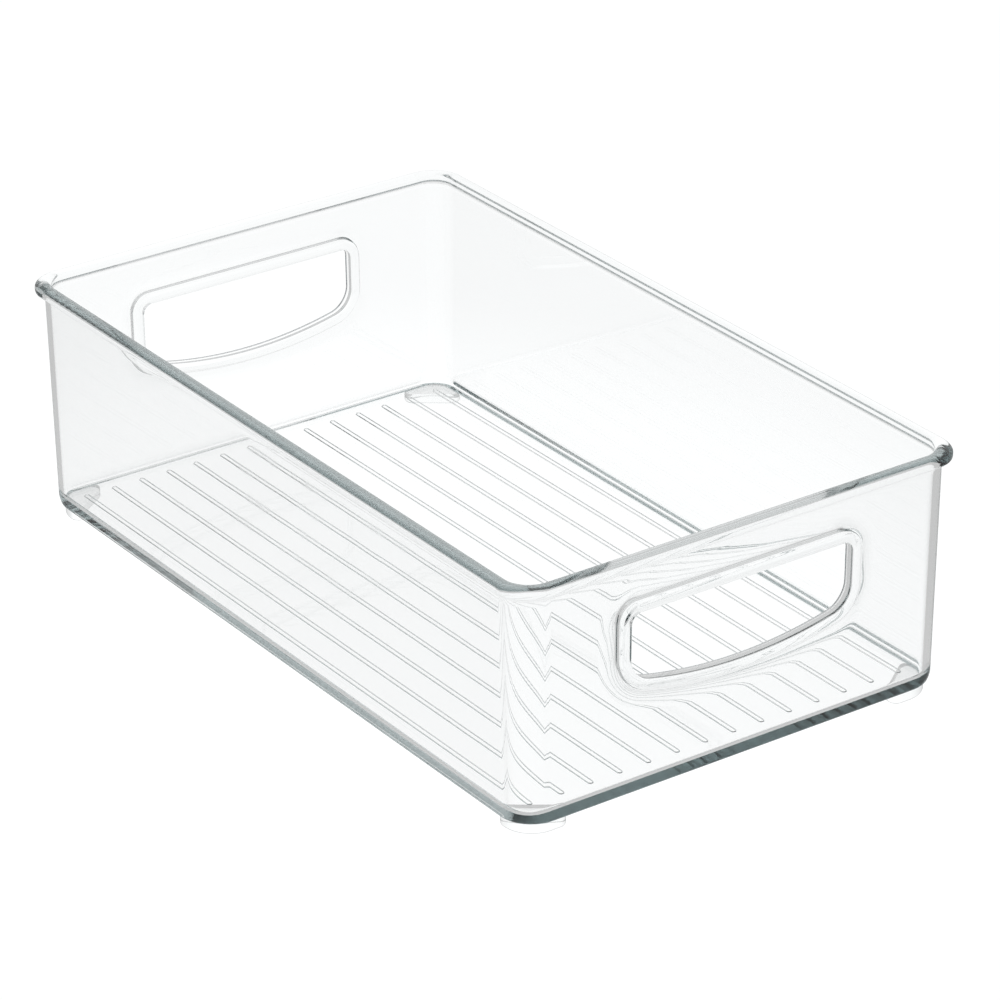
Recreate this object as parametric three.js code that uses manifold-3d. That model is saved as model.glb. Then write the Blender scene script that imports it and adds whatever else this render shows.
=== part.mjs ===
// Clear fridge bin: one injection-moulded tray with a rolled rim, a ribbed floor
// and a bow-bottomed hand hole in each short end, standing on four corner feet.
// Millimetres, +Z up, +X along the length, origin under the middle of the feet.

import * as THREE from 'three';
import { mergeVertices } from 'three/addons/utils/BufferGeometryUtils.js';
import Module from 'manifold-3d';

// Overall size
const LENGTH = 254;
const WIDTH = 151;
const HEIGHT = 76;

// Walls and floor
const WALL = 2.2;
const DRAFT = 1.1; // each wall leans in by this much from the rim down to the base
const FLOOR = 2.1;
const BASE_EDGE_RADIUS = 0.9; // outside, between wall and underside
const INNER_EDGE_RADIUS = 2.6; // inside, between wall and floor
const RIM_CORNER_RADIUS = 10.3; // in plan, around the outside of the rim
const WALL_CORNER_SET = 1.9; // the walls' corners are this much rounder than the rim's
const BASE_CORNER_SET = 2.4; // and the base's corners rounder again
const BASE_CORNER_HEIGHT = 3.5; // over this height above the base

// Rolled rim
const RIM_HEIGHT = 4.2;
const RIM_OVERHANG = 2.2; // how far the rim stands out from the wall
const RIM_OUTER_DROP = 1.5; // from the crown of the rim down to its flat outer face
const RIM_INNER_DROP = 1.3; // and down to its inner face
const RIM_LOWER_RADIUS = 1.0; // between the outer face and the rim's underside
const RIM_LAND = 0.3; // flat along the crown

// Floor ribs
const RIB_COUNT = 14;
const RIB_PITCH = 9.7;
const RIB_LENGTH = 229.8;
const RIB_WIDTH = 1.8;
const RIB_HEIGHT = 0.35;

// Hand holes, measured on the clear opening
const HOLE_HALF_WIDTH = 37.3;
const HOLE_TOP = 58.4;
const HOLE_BOTTOM = 33.9;
const HOLE_TOP_RADIUS = 3;
const HOLE_LOWER_RADIUS = 8;
const HOLE_BOW_RADIUS = 137;
const COLLAR_HALF_WIDTH = 2.2; // oval bead that rims the hole, in the wall's plane
const COLLAR_HALF_THICKNESS = 2.6; // the same bead, across the wall

// Feet
const FOOT_HEIGHT = 3.4;
const FOOT_OUTER_X = 122.8;
const FOOT_OUTER_Y = 71.2;
const FOOT_REACH_X = 110; // nearest each arm comes to the middle of the bin
const FOOT_REACH_Y = 55.6;
const FOOT_CORNER_RADIUS = 9.4;
const FOOT_TIP_RADIUS = 3;
const FOOT_EDGE_RADIUS = 0.8;
const FOOT_GAP = 0.3; // between the foot and the underside of the tray

// Smoothness of round stretches, in steps
const CORNER_STEPS = 7;
const PROFILE_STEPS = 4;
const BOW_STEPS = 16;
const COLLAR_STEPS = 12;
const RIB_STEPS = 2;

const PAST = 1; // how far a cutter runs past the face that it cuts

const FLOOR_TOP = FOOT_HEIGHT + FLOOR;
const RIM_UNDERSIDE = HEIGHT - RIM_HEIGHT;
const RIM_WIDTH = RIM_OVERHANG + WALL;
const QUARTER = Math.PI / 2;

const wasm = await Module();
wasm.setup();

// ---- plan outlines -------------------------------------------------------

// Points along an arc about (cx, cy), from angle a0 to a1.
function arc(cx, cy, radius, a0, a1, steps) {
  const curve = new THREE.EllipseCurve(cx, cy, radius, radius, a0, a1, a1 < a0);
  return curve.getPoints(steps);
}

// Rectangle with round corners, anticlockwise.
function roundedRectangle(halfX, halfY, radius, steps) {
  const points = [];
  const corners = [[1, 1], [-1, 1], [-1, -1], [1, -1]];
  corners.forEach(([sx, sy], quarter) => {
    const start = quarter * QUARTER;
    points.push(...arc(sx * (halfX - radius), sy * (halfY - radius), radius, start, start + QUARTER, steps));
  });
  return points;
}

// Straight bar with half-round ends, along X at distance y from the middle line.
function barOutline(halfX, halfY, y, steps) {
  const centre = halfX - halfY;
  return [
    ...arc(centre, y, halfY, -QUARTER, QUARTER, 2 * steps),
    ...arc(-centre, y, halfY, QUARTER, 3 * QUARTER, 2 * steps),
  ];
}

// Plan of the tray, drawn in from the outside of the rim by inset and then moved
// back out by grow. cornerSet makes the corners rounder.
function trayOutline(inset, grow = 0, cornerSet = 0) {
  const wallSet = WALL_CORNER_SET * Math.min(inset / RIM_OVERHANG, 1);
  const radius = RIM_CORNER_RADIUS + wallSet + cornerSet - inset + grow;
  return roundedRectangle(LENGTH / 2 - inset + grow, WIDTH / 2 - inset + grow, radius, CORNER_STEPS);
}

// How much rounder the outside corners are at height z, near the base.
function baseCornerSet(z) {
  const left = Math.max(1 - (z - FOOT_HEIGHT) / BASE_CORNER_HEIGHT, 0);
  return BASE_CORNER_SET * left ** 2;
}

// How far the outside of the wall lies inside the rim's outside at height z.
function wallInset(z) {
  const down = (RIM_UNDERSIDE - z) / (RIM_UNDERSIDE - FOOT_HEIGHT);
  return RIM_OVERHANG + DRAFT * down;
}

// ---- closed solids -------------------------------------------------------

function geometryFrom(positions, indices) {
  const geometry = new THREE.BufferGeometry();
  geometry.setAttribute('position', new THREE.Float32BufferAttribute(positions, 3));
  geometry.setIndex(indices);
  return geometry;
}

// Two triangles between each pair of neighbouring points on two rings.
function bandIndices(lower, upper, count) {
  const indices = [];
  for (let i = 0; i < count; i++) {
    const next = (i + 1) % count;
    indices.push(lower + i, lower + next, upper + next);
    indices.push(lower + i, upper + next, upper + i);
  }
  return indices;
}

// Stacks plan outlines into a solid. Each layer is { z, points }, lowest first.
function loft(layers) {
  const count = layers[0].points.length;
  const positions = [];
  const indices = [];
  for (const { z, points } of layers) {
    points.forEach((p) => positions.push(p.x, p.y, z));
  }
  for (let layer = 0; layer + 1 < layers.length; layer++) {
    indices.push(...bandIndices(layer * count, (layer + 1) * count, count));
  }
  const top = (layers.length - 1) * count;
  for (let i = 1; i + 1 < count; i++) {
    indices.push(0, i + 1, i);
    indices.push(top, top + i, top + i + 1);
  }
  return geometryFrom(positions, indices);
}

// Closes a list of rings into a hoop: the last ring meets the first.
function hoop(rings) {
  const count = rings[0].length;
  const positions = rings.flat().flatMap((p) => [p.x, p.y, p.z]);
  const indices = [];
  for (let ring = 0; ring < rings.length; ring++) {
    const next = (ring + 1) % rings.length;
    indices.push(...bandIndices(ring * count, next * count, count));
  }
  return geometryFrom(positions, indices);
}

function solid(geometry) {
  const welded = mergeVertices(geometry, 1e-5);
  const vertProperties = new Float32Array(welded.attributes.position.array);
  const triVerts = new Uint32Array(welded.index.array);
  return new wasm.Manifold(new wasm.Mesh({ numProp: 3, vertProperties, triVerts }));
}

function meshFrom(manifold, name, material) {
  const { vertProperties, triVerts } = manifold.getMesh();
  const geometry = geometryFrom(Array.from(vertProperties), Array.from(triVerts));
  geometry.computeVertexNormals();
  const mesh = new THREE.Mesh(geometry, material);
  mesh.name = name;
  return mesh;
}

// ---- tray ----------------------------------------------------------------

// Outside of the tray: round base edge, leaning wall, outer half of the rim.
// grow makes the whole skin thicker, for cutting a clearance into a neighbour.
function outerSkin(grow) {
  const layers = [];
  for (let i = 0; i <= PROFILE_STEPS; i++) {
    const angle = (i / PROFILE_STEPS) * QUARTER;
    const z = FOOT_HEIGHT + BASE_EDGE_RADIUS * (1 - Math.cos(angle));
    const inset = wallInset(z) + BASE_EDGE_RADIUS * (1 - Math.sin(angle));
    const points = trayOutline(inset, grow * Math.sin(angle), baseCornerSet(z));
    layers.push({ z: z - grow * Math.cos(angle), points });
  }
  for (let i = 1; i <= PROFILE_STEPS; i++) {
    const above = BASE_EDGE_RADIUS + (BASE_CORNER_HEIGHT - BASE_EDGE_RADIUS) * (i / PROFILE_STEPS);
    const z = FOOT_HEIGHT + above;
    layers.push({ z, points: trayOutline(wallInset(z), grow, baseCornerSet(z)) });
  }
  layers.push({ z: RIM_UNDERSIDE, points: trayOutline(RIM_OVERHANG, grow) });
  for (let i = 0; i <= PROFILE_STEPS; i++) {
    const angle = (i / PROFILE_STEPS) * QUARTER;
    const z = RIM_UNDERSIDE + RIM_LOWER_RADIUS * (1 - Math.cos(angle));
    layers.push({ z, points: trayOutline(RIM_LOWER_RADIUS * (1 - Math.sin(angle)), grow) });
  }
  const reach = (RIM_WIDTH - RIM_LAND) / 2;
  for (let i = 0; i <= PROFILE_STEPS; i++) {
    const angle = (i / PROFILE_STEPS) * QUARTER;
    const z = HEIGHT - RIM_OUTER_DROP * (1 - Math.sin(angle));
    layers.push({ z, points: trayOutline(reach * (1 - Math.cos(angle)), grow) });
  }
  return solid(loft(layers));
}

// The space inside the tray, open upwards past the rim.
function cavity() {
  const layers = [];
  for (let i = 0; i <= PROFILE_STEPS; i++) {
    const angle = (i / PROFILE_STEPS) * QUARTER;
    const z = FLOOR_TOP + INNER_EDGE_RADIUS * (1 - Math.cos(angle));
    const inset = wallInset(z) + WALL + INNER_EDGE_RADIUS * (1 - Math.sin(angle));
    layers.push({ z, points: trayOutline(inset) });
  }
  const reach = (RIM_WIDTH - RIM_LAND) / 2;
  for (let i = 0; i <= PROFILE_STEPS; i++) {
    const angle = (i / PROFILE_STEPS) * QUARTER;
    const z = HEIGHT - RIM_INNER_DROP * (1 - Math.sin(angle));
    layers.push({ z, points: trayOutline(RIM_WIDTH - reach * (1 - Math.cos(angle))) });
  }
  layers.push({ z: HEIGHT + PAST, points: trayOutline(RIM_WIDTH - reach) });
  return solid(loft(layers));
}

// One raised rib at distance y from the middle line, with round ends.
function rib(y) {
  const profile = [
    [-FLOOR / 2, 0],
    [0, 0],
    [RIB_HEIGHT * 0.7, 0.1],
    [RIB_HEIGHT, 0.35],
  ];
  const layers = profile.map(([rise, inset]) => {
    const points = barOutline(RIB_LENGTH / 2 - inset, RIB_WIDTH / 2 - inset, y, RIB_STEPS);
    return { z: FLOOR_TOP + rise, points };
  });
  return solid(loft(layers));
}

// Outline of the hand hole as y and z, grown outwards by offset. Straight top,
// short straight sides and a bowed bottom, joined by round corners.
function holeOutline(offset) {
  const bowCentre = HOLE_BOTTOM + HOLE_BOW_RADIUS;
  const lowerY = HOLE_HALF_WIDTH - HOLE_LOWER_RADIUS;
  const lowerZ = bowCentre - Math.sqrt((HOLE_BOW_RADIUS - HOLE_LOWER_RADIUS) ** 2 - lowerY ** 2);
  const upperY = HOLE_HALF_WIDTH - HOLE_TOP_RADIUS;
  const upperZ = HOLE_TOP - HOLE_TOP_RADIUS;
  const turn = Math.atan2(lowerZ - bowCentre, lowerY);
  const lower = HOLE_LOWER_RADIUS + offset;
  const upper = HOLE_TOP_RADIUS + offset;
  const bow = arc(0, bowCentre, HOLE_BOW_RADIUS + offset, -Math.PI - turn, turn, BOW_STEPS);
  return [
    ...arc(upperY, upperZ, upper, 0, QUARTER, PROFILE_STEPS),
    ...arc(-upperY, upperZ, upper, QUARTER, Math.PI, PROFILE_STEPS),
    ...arc(-lowerY, lowerZ, lower, -Math.PI, -Math.PI - turn, PROFILE_STEPS + 1),
    ...bow.slice(1, -1),
    ...arc(lowerY, lowerZ, lower, turn, 0, PROFILE_STEPS + 1),
  ];
}

// Middle of the end wall's thickness at height z, as a distance from the centre.
function endWallMiddle(z) {
  return LENGTH / 2 - wallInset(z) - WALL / 2;
}

// A ring shaped like the hand hole, standing in the end wall on side +1 or -1.
function holeRing(side, offset, proud) {
  const ring = holeOutline(offset).map((p) => {
    return new THREE.Vector3(side * (endWallMiddle(p.y) + proud), p.x, p.y);
  });
  return side > 0 ? ring : ring.reverse();
}

function collar(side) {
  const rings = [];
  for (let i = 0; i < COLLAR_STEPS; i++) {
    const angle = (i / COLLAR_STEPS) * 2 * Math.PI;
    const offset = COLLAR_HALF_WIDTH * (1 - Math.cos(angle));
    rings.push(holeRing(side, offset, -COLLAR_HALF_THICKNESS * Math.sin(angle)));
  }
  return solid(hoop(rings));
}

// Plug that cuts the wall away inside the collar.
function holeCutter(side) {
  const reach = COLLAR_HALF_THICKNESS + PAST;
  const back = holeRing(side, COLLAR_HALF_WIDTH, -reach);
  const front = holeRing(side, COLLAR_HALF_WIDTH, reach);
  const count = back.length;
  const positions = [...back, ...front].flatMap((p) => [p.x, p.y, p.z]);
  const indices = bandIndices(0, count, count);
  const flat = holeOutline(COLLAR_HALF_WIDTH);
  const contour = side > 0 ? flat : flat.reverse();
  for (const [a, b, c] of THREE.ShapeUtils.triangulateShape(contour, [])) {
    const facing = THREE.ShapeUtils.area([contour[a], contour[b], contour[c]]) * side > 0;
    const [u, v] = facing ? [b, c] : [c, b];
    indices.push(a, v, u);
    indices.push(count + a, count + u, count + v);
  }
  return solid(geometryFrom(positions, indices));
}

function tray() {
  let body = outerSkin(0).subtract(cavity());
  for (let i = 0; i < RIB_COUNT; i++) {
    body = body.add(rib((i - (RIB_COUNT - 1) / 2) * RIB_PITCH));
  }
  for (const side of [1, -1]) {
    body = body.subtract(holeCutter(side)).add(collar(side));
  }
  return body;
}

// ---- feet ----------------------------------------------------------------

// Outline around three circles, anticlockwise: the bin's corner and the tips of
// the two arms that run back along the walls.
function footOutline(inset) {
  const corner = FOOT_CORNER_RADIUS;
  const tip = FOOT_TIP_RADIUS;
  const alongX = new THREE.Vector2(FOOT_REACH_X + tip, FOOT_OUTER_Y - tip);
  const alongY = new THREE.Vector2(FOOT_OUTER_X - tip, FOOT_REACH_Y + tip);
  const chord = alongY.clone().sub(alongX);
  const inward = chord.angle() - QUARTER;
  return [
    ...arc(FOOT_OUTER_X - corner, FOOT_OUTER_Y - corner, corner - inset, 0, QUARTER, CORNER_STEPS),
    ...arc(alongX.x, alongX.y, tip - inset, QUARTER, inward, PROFILE_STEPS),
    ...arc(alongY.x, alongY.y, tip - inset, inward, 2 * Math.PI, PROFILE_STEPS),
  ];
}

function foot(sideX, sideY) {
  const layers = [];
  for (let i = 0; i <= PROFILE_STEPS; i++) {
    const angle = (i / PROFILE_STEPS) * QUARTER;
    const inset = FOOT_EDGE_RADIUS * (1 - Math.sin(angle));
    layers.push({ z: FOOT_EDGE_RADIUS * (1 - Math.cos(angle)), points: footOutline(inset) });
  }
  layers.push({ z: FLOOR_TOP, points: footOutline(0) });
  for (const layer of layers) {
    layer.points = layer.points.map((p) => new THREE.Vector2(sideX * p.x, sideY * p.y));
    if (sideX * sideY < 0) layer.points.reverse();
  }
  return solid(loft(layers)).subtract(outerSkin(FOOT_GAP));
}

// ---- the bin -------------------------------------------------------------

const clearPlastic = new THREE.MeshStandardMaterial({
  color: 0xe6f0f0, roughness: 0.05, metalness: 0, transparent: true, opacity: 0.35,
});
const clearPad = new THREE.MeshStandardMaterial({
  color: 0xf2f5f5, roughness: 0.15, metalness: 0, transparent: true, opacity: 0.45,
});

const bin = new THREE.Group();
bin.add(meshFrom(tray(), 'bin_shell', clearPlastic));

// The front is the +X end; left and right are as seen by someone facing it.
const FEET = [
  ['foot_front_left', 1, -1],
  ['foot_front_right', 1, 1],
  ['foot_back_left', -1, -1],
  ['foot_back_right', -1, 1],
];
for (const [name, sideX, sideY] of FEET) {
  bin.add(meshFrom(foot(sideX, sideY), name, clearPad));
}

export default bin;
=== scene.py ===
"""Looks for the clear fridge bin: a finely rounded moulded tray on four clear pads, on a lit white table.

Lengths are in metres, in the CAD's frame: +X towards the front short end, +Z up.
"""

import math

import bmesh
import bpy
import numpy as np
from mathutils import Matrix, Vector
from mathutils.geometry import delaunay_2d_cdt


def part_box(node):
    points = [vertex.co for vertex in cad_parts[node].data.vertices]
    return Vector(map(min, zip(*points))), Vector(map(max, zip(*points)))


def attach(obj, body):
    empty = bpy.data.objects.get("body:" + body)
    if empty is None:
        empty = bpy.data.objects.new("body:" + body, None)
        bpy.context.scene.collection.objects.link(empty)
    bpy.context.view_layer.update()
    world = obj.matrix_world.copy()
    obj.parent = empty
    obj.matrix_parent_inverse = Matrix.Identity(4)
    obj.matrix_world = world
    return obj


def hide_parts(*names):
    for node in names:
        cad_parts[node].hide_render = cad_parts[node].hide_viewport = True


MM = 0.001

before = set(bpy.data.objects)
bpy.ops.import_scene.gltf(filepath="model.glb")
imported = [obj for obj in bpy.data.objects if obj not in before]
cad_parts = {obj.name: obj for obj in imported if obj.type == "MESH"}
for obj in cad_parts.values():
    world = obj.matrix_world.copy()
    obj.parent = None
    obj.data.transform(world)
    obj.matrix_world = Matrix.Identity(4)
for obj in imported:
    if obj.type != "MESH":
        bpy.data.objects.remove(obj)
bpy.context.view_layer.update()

# ---- sizes ---------------------------------------------------------------

SHELL_LOW, SHELL_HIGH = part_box("bin_shell")
LENGTH = SHELL_HIGH.x - SHELL_LOW.x
WIDTH = SHELL_HIGH.y - SHELL_LOW.y
BASE_Z = SHELL_LOW.z
TOP_Z = SHELL_HIGH.z

WALL = 2.2 * MM
DRAFT = 1.1 * MM
FLOOR = 2.1 * MM
FLOOR_Z = BASE_Z + FLOOR
BASE_EDGE_RADIUS = 0.9 * MM
INNER_EDGE_RADIUS = 2.6 * MM
RIM_CORNER_RADIUS = 10.3 * MM
CORNER_EASE = 0.06  # part of each corner's length over which it comes into its curve, at either end
WALL_CORNER_SET = 1.9 * MM  # the walls' corners are this much rounder than the rim's
BASE_CORNER_SET = 2.4 * MM  # and the base's corners rounder again
BASE_CORNER_HEIGHT = 3.5 * MM  # over this height above the base
RIM_HEIGHT = 3.4 * MM  # lower than the CAD's, with a hollow neck under it in place of a ledge
RIM_OVERHANG = 2.2 * MM
RIM_OUTER_DROP = 1.7 * MM  # from the crown of the rim down to its flat outer face
RIM_INNER_DROP = 1.3 * MM  # and to its inner face
RIM_LOWER_REACH = 0.7 * MM  # below its flat, the outer face curves in by this much
RIM_LOWER_RISE = 1.0 * MM  # over this height above the rim's underside
RIM_NECK_RADIUS = 1.5 * MM
RIM_UNDERSIDE = TOP_Z - RIM_HEIGHT

RIB_COUNT = 14
RIB_PITCH = 9.7 * MM
RIB_LENGTH = 229.8 * MM
RIB_WIDTH = 1.7 * MM
RIB_SECTION = [  # (drawn in from the foot of the rib, rise), in millimetres: the middle has sunk as it cooled
    (-0.07, 0.0),
    (-0.02, 0.02),
    (0.0, 0.06),
    (0.02, 0.25),
    (0.05, 0.30),
    (0.10, 0.32),
    (0.15, 0.31),
    (0.19, 0.27),
    (0.22, 0.14),
    (0.26, 0.09),
    (0.34, 0.08),
]

HOLE_HALF_WIDTH = 37.3 * MM
HOLE_TOP = 58.4 * MM
HOLE_BOTTOM = 33.9 * MM
HOLE_TOP_RADIUS = 3 * MM
HOLE_LOWER_RADIUS = 8 * MM
HOLE_BOW_RADIUS = 137 * MM
COLLAR_HALF_WIDTH = 2.1 * MM
COLLAR_HALF_THICKNESS = 2.3 * MM
COLLAR_FLAT = 1.4 * MM  # half the flat band inside the hole
COLLAR_BEAD_RADIUS = 1.2 * MM
COLLAR_FILLET_RADIUS = 1.2 * MM
COLLAR_SKIRT_TURN = math.radians(13)  # slope at which the tight hollow opens out into the wide one
COLLAR_TURN_OUTSIDE = math.radians(46)  # how far the bead turns down before the hollow
COLLAR_TURN_INSIDE = math.radians(36)
FLAT_WALL_LOW_Z = 20 * MM  # the flat part of an end wall, around its hole, reaches from here
FLAT_WALL_HIGH_Z = 69.5 * MM  # to here

FOOT_CORNER_RADIUS = 9.4 * MM
FOOT_TIP_RADIUS = 3 * MM
FOOT_EDGE_RADIUS = 0.8 * MM
FOOT_TOP_REACH = 0.95  # the pad's top is drawn in by rings over this part of the tip's radius
FOOT_BOND = 0.06 * MM  # air left between the pad and the tray
FLOOR_CONTACT = 0.03 * MM  # the pads press this far into the table, so that no air is left between them

CORNER_STEPS = 18
CORNER_SUBSTEPS = 40  # for adding up the curve between two points of a corner
CORNER_POINTS = CORNER_STEPS + 1
BACK_WALL_EDGE = 2 * CORNER_POINTS - 1  # the place in a tray ring where its edge along the back wall starts
FRONT_WALL_EDGE = 4 * CORNER_POINTS - 1
PROFILE_STEPS = 8
NECK_STEPS = 4
RIB_END_STEPS = 12
HOLE_TOP_STEPS = 12
HOLE_LOWER_STEPS = 16
HOLE_BOW_STEPS = 48
COLLAR_SKIRT_STEPS = 10
COLLAR_FILLET_STEPS = 8
COLLAR_BEAD_STEPS = 10
COLLAR_NOSE_STEPS = 8
FOOT_STEPS = 14
FOOT_TOP_STEPS = 11

QUARTER = math.pi / 2


# ---- outlines ------------------------------------------------------------


def arc(cx, cy, radius, start, end, steps):
    """Points along an arc, ends included."""
    angles = [start + (end - start) * i / steps for i in range(steps + 1)]
    return [(cx + radius * math.cos(a), cy + radius * math.sin(a)) for a in angles]


def corner_curve():
    """A quarter turn of unit radius that eases into its curve, as (x, y, direction of its normal).

    x and y are drawn in from where the two straight sides would meet.
    """
    fine = CORNER_SUBSTEPS * CORNER_STEPS
    bend = []
    for k in range(fine):
        done = (k + 0.5) / fine
        bend.append(min(1, done / CORNER_EASE, (1 - done) / CORNER_EASE))
    total = sum(bend)
    x, y, turned = 0.0, 0.0, 0.0
    spots = [(x, y, turned)]
    for k, amount in enumerate(bend):
        turned += QUARTER * amount / total / 2
        x -= math.sin(turned)
        y += math.cos(turned)
        turned += QUARTER * amount / total / 2
        if (k + 1) % CORNER_SUBSTEPS == 0:
            spots.append((x, y, turned))
    scale = 1 / spots[-1][1]
    return [(x * scale, y * scale - 1, turned) for x, y, turned in spots]


CORNER = corner_curve()


def tray_outline(inset, corner_set=0):
    """The tray's plan, drawn in from the rim's outside by inset, with corners rounder by corner_set."""
    radius = RIM_CORNER_RADIUS + corner_set
    points = []
    for quarter, (sx, sy) in enumerate([(1, 1), (-1, 1), (-1, -1), (1, -1)]):
        cos, sin = math.cos(quarter * QUARTER), math.sin(quarter * QUARTER)
        for x, y, turned in CORNER:
            x, y = radius * x - inset * math.cos(turned), radius * y - inset * math.sin(turned)
            points.append((sx * LENGTH / 2 + x * cos - y * sin, sy * WIDTH / 2 + x * sin + y * cos))
    return points


def wall_inset(z):
    """How far the outside of the wall lies inside the rim's outside at height z."""
    return RIM_OVERHANG + DRAFT * (RIM_UNDERSIDE - z) / (RIM_UNDERSIDE - BASE_Z)


def base_corner_set(z):
    """How much rounder the outside corners are at height z, near the base."""
    return BASE_CORNER_SET * max(1 - (z - BASE_Z) / BASE_CORNER_HEIGHT, 0) ** 2


def hole_outline(offset):
    """The hand hole as y and z, grown outwards by offset: straight top, short sides, bowed bottom."""
    bow_z = HOLE_BOTTOM + HOLE_BOW_RADIUS
    low_y = HOLE_HALF_WIDTH - HOLE_LOWER_RADIUS
    low_z = bow_z - math.sqrt((HOLE_BOW_RADIUS - HOLE_LOWER_RADIUS) ** 2 - low_y**2)
    top_y = HOLE_HALF_WIDTH - HOLE_TOP_RADIUS
    top_z = HOLE_TOP - HOLE_TOP_RADIUS
    turn = math.atan2(low_z - bow_z, low_y)
    top = HOLE_TOP_RADIUS + offset
    low = HOLE_LOWER_RADIUS + offset
    bow = arc(0, bow_z, HOLE_BOW_RADIUS + offset, -math.pi - turn, turn, HOLE_BOW_STEPS)
    return (
        arc(top_y, top_z, top, 0, QUARTER, HOLE_TOP_STEPS)
        + arc(-top_y, top_z, top, QUARTER, math.pi, HOLE_TOP_STEPS)
        + arc(-low_y, low_z, low, -math.pi, -math.pi - turn, HOLE_LOWER_STEPS)
        + bow[1:-1]
        + arc(low_y, low_z, low, turn, 0, HOLE_LOWER_STEPS)
    )


def bar_outline(half_x, half_y, y):
    """A straight bar with half-round ends, along X at distance y from the middle line."""
    centre = half_x - half_y
    front = arc(centre, y, half_y, -QUARTER, QUARTER, RIB_END_STEPS)
    back = arc(-centre, y, half_y, QUARTER, 3 * QUARTER, RIB_END_STEPS)
    return front + back


# ---- meshes --------------------------------------------------------------

INSIDE_ONLY = 1  # delaunay_2d_cdt's choice of keeping the triangles inside the constraints
MERGE_DISTANCE = 1e-7  # in millimetres


def encloses(ring, point):
    """Whether a ring of 2-D points goes round the point."""
    x, y = ring[:, 0], ring[:, 1]
    next_x, next_y = np.roll(x, -1), np.roll(y, -1)
    spans = (y > point[1]) != (next_y > point[1])
    crossing = x + (point[1] - y) * (next_x - x) / np.where(spans, next_y - y, 1)
    return np.count_nonzero(spans & (crossing > point[0])) % 2 == 1


class Skin:
    """A closed surface built up from loops of points."""

    def __init__(self):
        self.points = []
        self.faces = []

    def loop(self, points):
        """Adds a loop of points and gives their places in the list."""
        first = len(self.points)
        self.points += points
        return list(range(first, len(self.points)))

    def band(self, a, b, leave_out=()):
        """Quads between two loops of the same length, but for those left out."""
        for i in range(len(a)):
            j = (i + 1) % len(a)
            if i not in leave_out:
                self.faces.append((a[i], a[j], b[j], b[i]))

    def bands(self, loops):
        for a, b in zip(loops, loops[1:]):
            self.band(a, b)

    def fill(self, outer, holes, across):
        """Closes a flat region with holes. across gives a point's two coordinates in its plane."""
        used = [i for ring in [outer, *holes] for i in ring]
        flat = [Vector(across(self.points[i])) / MM for i in used]
        edges, gaps = [], []
        start = 0
        for ring in [outer, *holes]:
            count = len(ring)
            edges += [(start + k, start + (k + 1) % count) for k in range(count)]
            if ring is not outer:
                gaps.append(np.array(flat[start : start + count]))
            start += count
        spots, _, triangles, origin = delaunay_2d_cdt(flat, edges, [], INSIDE_ONLY, MERGE_DISTANCE)[:4]
        for triangle in triangles:
            middle = sum((spots[i] for i in triangle), Vector((0, 0))) / 3
            if not any(encloses(gap, middle) for gap in gaps):
                self.faces.append(tuple(used[origin[i][0]] for i in triangle))

    def build(self, name):
        """Makes the object, smooth shaded, with its faces turned outwards."""
        mesh = bpy.data.meshes.new(name)
        mesh.from_pydata(self.points, [], self.faces)
        work = bmesh.new()
        work.from_mesh(mesh)
        bmesh.ops.recalc_face_normals(work, faces=work.faces)
        for face in work.faces:
            face.smooth = True
        normals = []
        for vert in work.verts:  # weighted by area, so that flat walls stay flat up to their rounded edges
            total = Vector((0, 0, 0))
            for face in vert.link_faces:
                total += face.normal * face.calc_area()
            normals.append(total.normalized())
        work.to_mesh(mesh)
        work.free()
        mesh.normals_split_custom_set_from_vertices(normals)
        piece = bpy.data.objects.new(name, mesh)
        bpy.context.scene.collection.objects.link(piece)
        return piece


def plan(p):
    return (p[0], p[1])


def elevation(p):
    return (p[1], p[2])


# ---- tray ----------------------------------------------------------------


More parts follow.
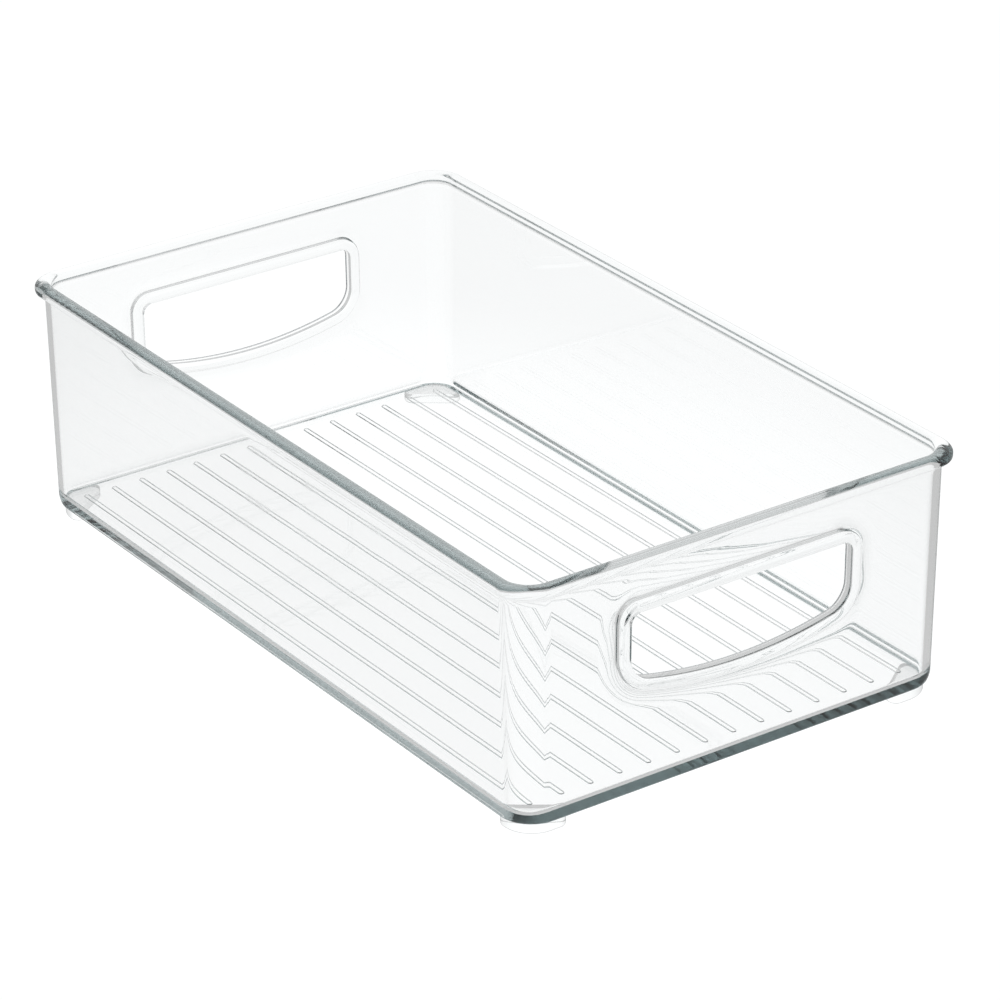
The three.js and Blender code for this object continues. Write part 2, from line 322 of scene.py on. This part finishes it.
def tray_rings():
    """The tray's section as (inset, z), from the underside up the outside, over the rim and down inside.

    Also gives, for the outside and the inside, the places in it of the low and the high ring that border
    the end walls' flat part.
    """
    section = []
    for i in range(PROFILE_STEPS + 1):
        a = QUARTER * i / PROFILE_STEPS
        z = BASE_Z + BASE_EDGE_RADIUS * (1 - math.cos(a))
        section.append((wall_inset(z) + BASE_EDGE_RADIUS * (1 - math.sin(a)), z))
    for i in range(1, PROFILE_STEPS + 1):
        z = BASE_Z + BASE_EDGE_RADIUS + (BASE_CORNER_HEIGHT - BASE_EDGE_RADIUS) * i / PROFILE_STEPS
        section.append((wall_inset(z), z))
    section.append((wall_inset(FLAT_WALL_LOW_Z), FLAT_WALL_LOW_Z))
    section.append((wall_inset(FLAT_WALL_HIGH_Z), FLAT_WALL_HIGH_Z))
    outside = (len(section) - 2, len(section) - 1)

    for i in range(NECK_STEPS + 1):
        a = QUARTER * i / NECK_STEPS
        z = RIM_UNDERSIDE - RIM_NECK_RADIUS * (1 - math.sin(a))
        section.append((wall_inset(RIM_UNDERSIDE) - RIM_NECK_RADIUS * (1 - math.cos(a)), z))
    for i in range(PROFILE_STEPS + 1):
        a = QUARTER * i / PROFILE_STEPS
        z = RIM_UNDERSIDE + RIM_LOWER_RISE * (1 - math.cos(a))
        section.append((RIM_LOWER_REACH * (1 - math.sin(a)), z))
    crest = (RIM_OVERHANG + WALL) / 2
    for i in range(2 * PROFILE_STEPS + 1):
        a = math.pi * i / (2 * PROFILE_STEPS)
        drop = RIM_OUTER_DROP if a < QUARTER else RIM_INNER_DROP
        section.append((crest * (1 - math.cos(a)), TOP_Z - drop * (1 - math.sin(a))))
    section.append((wall_inset(FLAT_WALL_HIGH_Z) + WALL, FLAT_WALL_HIGH_Z))
    section.append((wall_inset(FLAT_WALL_LOW_Z) + WALL, FLAT_WALL_LOW_Z))
    inside = (len(section) - 1, len(section) - 2)
    for i in range(PROFILE_STEPS + 1):
        a = QUARTER * (1 - i / PROFILE_STEPS)
        z = FLOOR_Z + INNER_EDGE_RADIUS * (1 - math.cos(a))
        section.append((wall_inset(z) + WALL + INNER_EDGE_RADIUS * (1 - math.sin(a)), z))
    return section, outside, inside


def collar_section():
    """The collar as (offset from the hole's edge, distance outwards from the wall's middle).

    A round bead on both faces of the wall, with a hollow fillet between bead and wall.
    """
    half = WALL / 2
    skirt_sin, skirt_cos = math.sin(COLLAR_SKIRT_TURN), math.cos(COLLAR_SKIRT_TURN)

    def shoulder(turn, side):
        """From the wall up to the bead's crest: a wide hollow, a tight hollow and the bead's round."""
        bead, tight = COLLAR_BEAD_RADIUS, COLLAR_FILLET_RADIUS
        drop = bead * (1 - math.cos(turn)) + tight * (skirt_cos - math.cos(turn))
        wide = (COLLAR_HALF_THICKNESS - half - drop) / (1 - skirt_cos)
        tight_end = COLLAR_HALF_WIDTH + bead * math.sin(turn) + tight * (math.sin(turn) - skirt_sin)
        wide_end = tight_end + wide * skirt_sin
        rise = wide * (1 - skirt_cos)
        points = []
        for i in range(COLLAR_SKIRT_STEPS):
            a = COLLAR_SKIRT_TURN * i / COLLAR_SKIRT_STEPS
            points.append((wide_end - wide * math.sin(a), half + wide * (1 - math.cos(a))))
        for i in range(COLLAR_FILLET_STEPS):
            a = COLLAR_SKIRT_TURN + (turn - COLLAR_SKIRT_TURN) * i / COLLAR_FILLET_STEPS
            out = half + rise + tight * (skirt_cos - math.cos(a))
            points.append((tight_end - tight * (math.sin(a) - skirt_sin), out))
        for i in range(COLLAR_BEAD_STEPS + 1):
            a = turn * (1 - i / COLLAR_BEAD_STEPS)
            out = COLLAR_HALF_THICKNESS - bead * (1 - math.cos(a))
            points.append((COLLAR_HALF_WIDTH + bead * math.sin(a), out))
        return [(offset, side * out) for offset, out in points]

    nose = []
    for side in (1, -1):
        turn = []
        for i in range(1, COLLAR_NOSE_STEPS + 1):
            a = QUARTER * (1 - i / COLLAR_NOSE_STEPS)
            out = COLLAR_FLAT + (COLLAR_HALF_THICKNESS - COLLAR_FLAT) * math.sin(a)
            turn.append((COLLAR_HALF_WIDTH * (1 - math.cos(a)), side * out))
        nose += turn[::side]
    return shoulder(COLLAR_TURN_OUTSIDE, 1) + nose + shoulder(COLLAR_TURN_INSIDE, -1)[::-1]


def collar_loop(skin, side, offset, out):
    """One loop of the collar, square to the end wall on the given side, which leans with its draft."""
    loop = []
    for y, z in hole_outline(offset):
        middle = LENGTH / 2 - wall_inset(z) - WALL / 2
        loop.append((side * (middle + out), y, z))
    return skin.loop(loop)


def add_hand_hole(skin, rings, side, outside, inside):
    """Fills the gap left in one end wall with its flat part and the collared hole."""
    a = FRONT_WALL_EDGE if side > 0 else BACK_WALL_EDGE
    b = (a + 1) % len(rings[0])
    loops = [collar_loop(skin, side, offset, out) for offset, out in collar_section()]
    for (low, high), loop in ((outside, loops[0]), (inside, loops[-1])):
        border = [rings[low][a], rings[low][b], rings[high][b], rings[high][a]]
        skin.fill(border, [loop], elevation)
    skin.bands(loops)


def add_rib(skin, y):
    """A rib at distance y from the middle line. Gives the loop around its foot, for the floor's hole."""
    loops = []
    for inset, rise in RIB_SECTION:
        inset, rise = inset * MM, rise * MM
        outline = bar_outline(RIB_LENGTH / 2 - inset, RIB_WIDTH / 2 - inset, y)
        loops.append(skin.loop([(px, py, FLOOR_Z + rise) for px, py in outline]))
    skin.bands(loops)
    skin.fill(loops[-1], [], plan)
    return loops[0]


def make_tray():
    skin = Skin()
    section, outside, inside = tray_rings()
    rings = []
    for k, (inset, z) in enumerate(section):
        corner_set = WALL_CORNER_SET * min(inset / RIM_OVERHANG, 1)
        if k < outside[0]:
            corner_set += base_corner_set(z)
        rings.append(skin.loop([(x, y, z) for x, y in tray_outline(inset, corner_set)]))
    for k in range(len(rings) - 1):
        meets_flat_wall = k == outside[0] or k == inside[1]
        leave_out = (BACK_WALL_EDGE, FRONT_WALL_EDGE) if meets_flat_wall else ()
        skin.band(rings[k], rings[k + 1], leave_out)
    for side in (1, -1):
        add_hand_hole(skin, rings, side, outside, inside)
    ribs = [add_rib(skin, (i - (RIB_COUNT - 1) / 2) * RIB_PITCH) for i in range(RIB_COUNT)]
    skin.fill(rings[-1], ribs, plan)
    skin.fill(rings[0], [], plan)
    return skin.build("tray_moulding")


# ---- feet ----------------------------------------------------------------


def foot_outline(low, high, side_x, side_y, inset):
    """Around three circles: the pad's outer corner and the tips of its two arms along the walls."""
    outer_x, near_x = (high.x, low.x) if side_x > 0 else (-low.x, -high.x)
    outer_y, near_y = (high.y, low.y) if side_y > 0 else (-low.y, -high.y)
    corner, tip = FOOT_CORNER_RADIUS, FOOT_TIP_RADIUS
    ax, ay = near_x + tip, outer_y - tip
    bx, by = outer_x - tip, near_y + tip
    inward = math.atan2(by - ay, bx - ax) % (2 * math.pi) - QUARTER
    points = (
        arc(outer_x - corner, outer_y - corner, corner - inset, 0, QUARTER, FOOT_STEPS)
        + arc(ax, ay, tip - inset, QUARTER, inward, FOOT_STEPS)
        + arc(bx, by, tip - inset, inward, 2 * math.pi, FOOT_STEPS)
    )
    return [(side_x * x, side_y * y) for x, y in points]


def underside_z(x, y):
    """Height of the tray's underside at a point, with its rounded outer edge."""
    corner = RIM_CORNER_RADIUS + WALL_CORNER_SET + BASE_CORNER_SET
    radius = corner - wall_inset(BASE_Z) - BASE_EDGE_RADIUS
    dx = max(abs(x) - (LENGTH / 2 - corner), 0)
    dy = max(abs(y) - (WIDTH / 2 - corner), 0)
    past = min(max(math.hypot(dx, dy) - radius, 0), BASE_EDGE_RADIUS)
    return BASE_Z + BASE_EDGE_RADIUS - math.sqrt(BASE_EDGE_RADIUS**2 - past**2)


def make_foot(node):
    low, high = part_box(node)
    side_x = 1 if low.x > 0 else -1
    side_y = 1 if low.y > 0 else -1
    skin = Skin()
    loops = []

    def outline(inset):
        return foot_outline(low, high, side_x, side_y, inset)

    for i in range(PROFILE_STEPS + 1):
        a = QUARTER * i / PROFILE_STEPS
        z = low.z + FOOT_EDGE_RADIUS * (1 - math.cos(a))
        loops.append(skin.loop([(x, y, z) for x, y in outline(FOOT_EDGE_RADIUS * (1 - math.sin(a)))]))
    for i in range(FOOT_TOP_STEPS + 1):
        inset = FOOT_TIP_RADIUS * FOOT_TOP_REACH * i / FOOT_TOP_STEPS
        loops.append(skin.loop([(x, y, underside_z(x, y) - FOOT_BOND) for x, y in outline(inset)]))
    skin.bands(loops)
    skin.fill(loops[0], [], plan)
    skin.fill(loops[-1], [], plan)
    return skin.build(node.replace("foot", "pad"))


# ---- materials -----------------------------------------------------------

FLOW_SCALE = 28
FLOW_DETAIL = 1.5
SCUFF_SCALE = 90
SCUFF_DETAIL = 6
SCUFF_START = 0.45  # noise level at which the scuffs start to show
SCUFF_FULL = 0.8  # and at which they are full
SLANT_BLEND = 0.35
SLANT_START = 0.15  # slant at which the painted edge shade starts to darken the colour

TABLE_WHITE = (1.0, 1.009, 1.011)
TABLE_GREY = 0.02  # nearly black, so that only the table's glow shows
TABLE_ROUGHNESS = 0.9
# Painted reflection shade: the table and the room are painted darker by these levels where they are met after
# one, two, three and more glossy reflections.
TABLE_PAINTED_REFLECTION_SHADE = (0.56, 0.58, 0.58, 0.58)  # painted reflection shade of the table, for the colour by glossy depth
ROOM_PAINTED_REFLECTION_SHADE = (0.9, 0.85, 0.85, 0.9)
PAINTED_POOL_LIGHT = 1.075  # painted pool of light: the table is painted this much brighter under the bin than around it
POOL_LENGTH = 240 * MM
POOL_WIDTH = 170 * MM
POOL_EDGE_START = 0.6  # where the pool starts to fade, as a part of its size
POOL_EDGE_END = 1.1


def clear_plastic(name, ior, tint, density, wave, scuff, edge):
    """Clear moulded plastic: slightly wavy, faintly scuffed, tinted by its depth and painted darker where
    seen aslant.

    tint and density (per metre) give its colour by depth. wave is the height of its waviness, scuff the
    roughness where it is scuffed, and edge how much painted edge shade darkens it where it is seen aslant.
    """
    material = bpy.data.materials.new(name)
    material.use_nodes = True
    tree = material.node_tree
    nodes, links = tree.nodes, tree.links
    shader = nodes["Principled BSDF"]
    shader.inputs["IOR"].default_value = ior
    shader.inputs["Transmission Weight"].default_value = 1

    place = nodes.new("ShaderNodeTexCoord")
    flow = nodes.new("ShaderNodeTexNoise")  # slow swell left by the mould's flow
    flow.inputs["Scale"].default_value = FLOW_SCALE
    flow.inputs["Detail"].default_value = FLOW_DETAIL
    links.new(place.outputs["Object"], flow.inputs["Vector"])
    bump = nodes.new("ShaderNodeBump")
    bump.inputs["Strength"].default_value = 1
    bump.inputs["Distance"].default_value = wave
    links.new(flow.outputs["Fac"], bump.inputs["Height"])
    links.new(bump.outputs["Normal"], shader.inputs["Normal"])

    haze = nodes.new("ShaderNodeTexNoise")  # handling marks
    haze.inputs["Scale"].default_value = SCUFF_SCALE
    haze.inputs["Detail"].default_value = SCUFF_DETAIL
    links.new(place.outputs["Object"], haze.inputs["Vector"])
    spread = nodes.new("ShaderNodeMapRange")
    spread.inputs["From Min"].default_value = SCUFF_START
    spread.inputs["From Max"].default_value = SCUFF_FULL
    spread.inputs["To Max"].default_value = scuff
    links.new(haze.outputs["Fac"], spread.inputs["Value"])
    links.new(spread.outputs["Result"], shader.inputs["Roughness"])

    # Painted edge shade: the colour is painted darker where the surface is seen aslant, drawing a dark
    # outline.
    slant = nodes.new("ShaderNodeLayerWeight")
    slant.inputs["Blend"].default_value = SLANT_BLEND
    painted_edge_shade = nodes.new("ShaderNodeMapRange")
    painted_edge_shade.inputs["From Min"].default_value = SLANT_START
    painted_edge_shade.inputs["To Min"].default_value = 1.0
    painted_edge_shade.inputs["To Max"].default_value = 1 - edge
    links.new(slant.outputs["Facing"], painted_edge_shade.inputs["Value"])
    links.new(painted_edge_shade.outputs["Result"], shader.inputs["Base Color"])

    depth = nodes.new("ShaderNodeVolumeAbsorption")
    depth.inputs["Color"].default_value = (*tint, 1)
    depth.inputs["Density"].default_value = density
    links.new(depth.outputs["Volume"], nodes["Material Output"].inputs["Volume"])
    return material


def glow_with_painted_reflection_shade(tree, lit, painted_reflection_levels):
    """The colour lit where it is met directly, then a painted darker level after one, two, three and more
    reflections.

    Painted reflection shade: the product stands on a lit white table, and the table and the world are painted
    darker where met after glossy reflections, so that light that has wandered inside the plastic is painted
    dark, standing in for a darker room.
    """
    path = tree.nodes.new("ShaderNodeLightPath")
    depth = tree.nodes.new("ShaderNodeMapRange")
    depth.inputs["From Max"].default_value = len(painted_reflection_levels)
    tree.links.new(path.outputs["Glossy Depth"], depth.inputs["Value"])
    ramp = tree.nodes.new("ShaderNodeValToRGB")
    tree.links.new(depth.outputs["Result"], ramp.inputs["Fac"])
    stops = ramp.color_ramp.elements
    stops[0].color = (*lit, 1)
    stops[1].position = 1
    for i in range(1, len(painted_reflection_levels)):
        stops.new(i / len(painted_reflection_levels))
    for stop, level in zip(stops[1:], painted_reflection_levels):
        stop.color = (level, level, level, 1)
    return ramp.outputs["Color"]


def floor_material():
    """A self-lit white table, painted a little brighter in a soft pool of light under the bin, and painted
    darker where it is met after glossy reflections.
    """
    material = bpy.data.materials.new("studio_floor")
    material.use_nodes = True
    material.cycles.emission_sampling = "NONE"
    tree = material.node_tree
    shader = tree.nodes["Principled BSDF"]
    shader.inputs["Base Color"].default_value = (TABLE_GREY, TABLE_GREY, TABLE_GREY, 1)
    shader.inputs["Roughness"].default_value = TABLE_ROUGHNESS
    shader.inputs["Specular IOR Level"].default_value = 0.0
    place = tree.nodes.new("ShaderNodeTexCoord")
    squash = tree.nodes.new("ShaderNodeMapping")
    squash.inputs["Scale"].default_value = (1 / POOL_LENGTH, 1 / POOL_WIDTH, 1)
    reach = tree.nodes.new("ShaderNodeVectorMath")
    reach.operation = "LENGTH"
    # Painted pool of light: the table's self-lit strength is raised under the bin.
    pool = tree.nodes.new("ShaderNodeMapRange")
    pool.interpolation_type = "SMOOTHSTEP"
    pool.inputs["From Min"].default_value = POOL_EDGE_START
    pool.inputs["From Max"].default_value = POOL_EDGE_END
    pool.inputs["To Min"].default_value = PAINTED_POOL_LIGHT
    pool.inputs["To Max"].default_value = 1.0
    tree.links.new(place.outputs["Object"], squash.inputs["Vector"])
    tree.links.new(squash.outputs["Vector"], reach.inputs[0])
    tree.links.new(reach.outputs["Value"], pool.inputs["Value"])
    tree.links.new(pool.outputs["Result"], shader.inputs["Emission Strength"])
    # Painted reflection shade: the table is painted darker where it is met after glossy reflections.
    glow = glow_with_painted_reflection_shade(tree, TABLE_WHITE, TABLE_PAINTED_REFLECTION_SHADE)
    tree.links.new(glow, shader.inputs["Emission Color"])
    return material


# ---- camera and studio ---------------------------------------------------

CAMERA_TURN = math.radians(55.03)  # from the long side at -Y, round towards the front short end
CAMERA_TILT = math.radians(26.39)  # above the table
CAMERA_ROLL = math.radians(-0.42)
CAMERA_AIM = Vector((14.9, -2.5, 38)) * MM
CAMERA_DISTANCE = 1.358
CAMERA_SENSOR = 36  # in millimetres, as Blender has it
CAMERA_LENS = 170.97
TABLE_SIZE = 12

# Light is led a long way along the floor and round the rim before it comes out.
MAX_BOUNCES = 96
TRANSMISSION_BOUNCES = 48
GLOSSY_BOUNCES = 80


def add_camera():
    """Looks down at the bin as the photo does."""
    back = Vector((
        math.sin(CAMERA_TURN) * math.cos(CAMERA_TILT),
        -math.cos(CAMERA_TURN) * math.cos(CAMERA_TILT),
        math.sin(CAMERA_TILT),
    ))
    data = bpy.data.cameras.new("camera")
    data.sensor_width = CAMERA_SENSOR
    data.lens = CAMERA_LENS
    camera = bpy.data.objects.new("camera", data)
    camera.location = CAMERA_AIM + back * CAMERA_DISTANCE
    turn = back.to_track_quat("Z", "Y").to_matrix() @ Matrix.Rotation(CAMERA_ROLL, 3, "Z")
    camera.rotation_euler = turn.to_euler()
    bpy.context.scene.collection.objects.link(camera)
    bpy.context.scene.camera = camera


def add_floor():
    bpy.ops.mesh.primitive_plane_add(size=TABLE_SIZE, location=(0, 0, FLOOR_CONTACT))
    floor = bpy.context.object
    floor.name = "studio_floor"
    floor.data.materials.append(floor_material())


def add_world():
    world = bpy.data.worlds.new("studio")
    bpy.context.scene.world = world
    world.use_nodes = True
    tree = world.node_tree
    background = tree.nodes["Background"]
    # Painted reflection shade: the world is painted darker where it is met after glossy reflections.
    tree.links.new(glow_with_painted_reflection_shade(tree, TABLE_WHITE, ROOM_PAINTED_REFLECTION_SHADE), background.inputs["Color"])
    world.cycles.sampling_method = "NONE"


# ---- the piece list ------------------------------------------------------

add_camera()
tray_plastic = clear_plastic(
    "clear_moulded_plastic",
    ior=1.57,
    tint=(0.32, 0.44, 0.45),
    density=10,
    wave=0.04 * MM,
    scuff=0.05,
    edge=0.0,
)
pad_plastic = clear_plastic(
    "clear_pad_plastic",
    ior=1.5,
    tint=(0.3, 0.45, 0.45),
    density=8,
    wave=0.02 * MM,
    scuff=0.12,
    # painted edge shade: a dark outline painted round the pads where they are seen aslant
    edge=0.95,
)

tray = make_tray()
tray.data.materials.append(tray_plastic)
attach(tray, "root")
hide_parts("bin_shell")

for node in ("foot_front_left", "foot_front_right", "foot_back_left", "foot_back_right"):
    pad = make_foot(node)
    pad.data.materials.append(pad_plastic)
    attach(pad, "root")
    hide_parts(node)

add_floor()
add_world()

scene = bpy.context.scene
scene.view_settings.view_transform = "Standard"
scene.cycles.max_bounces = MAX_BOUNCES
scene.cycles.transmission_bounces = TRANSMISSION_BOUNCES
scene.cycles.glossy_bounces = GLOSSY_BOUNCES
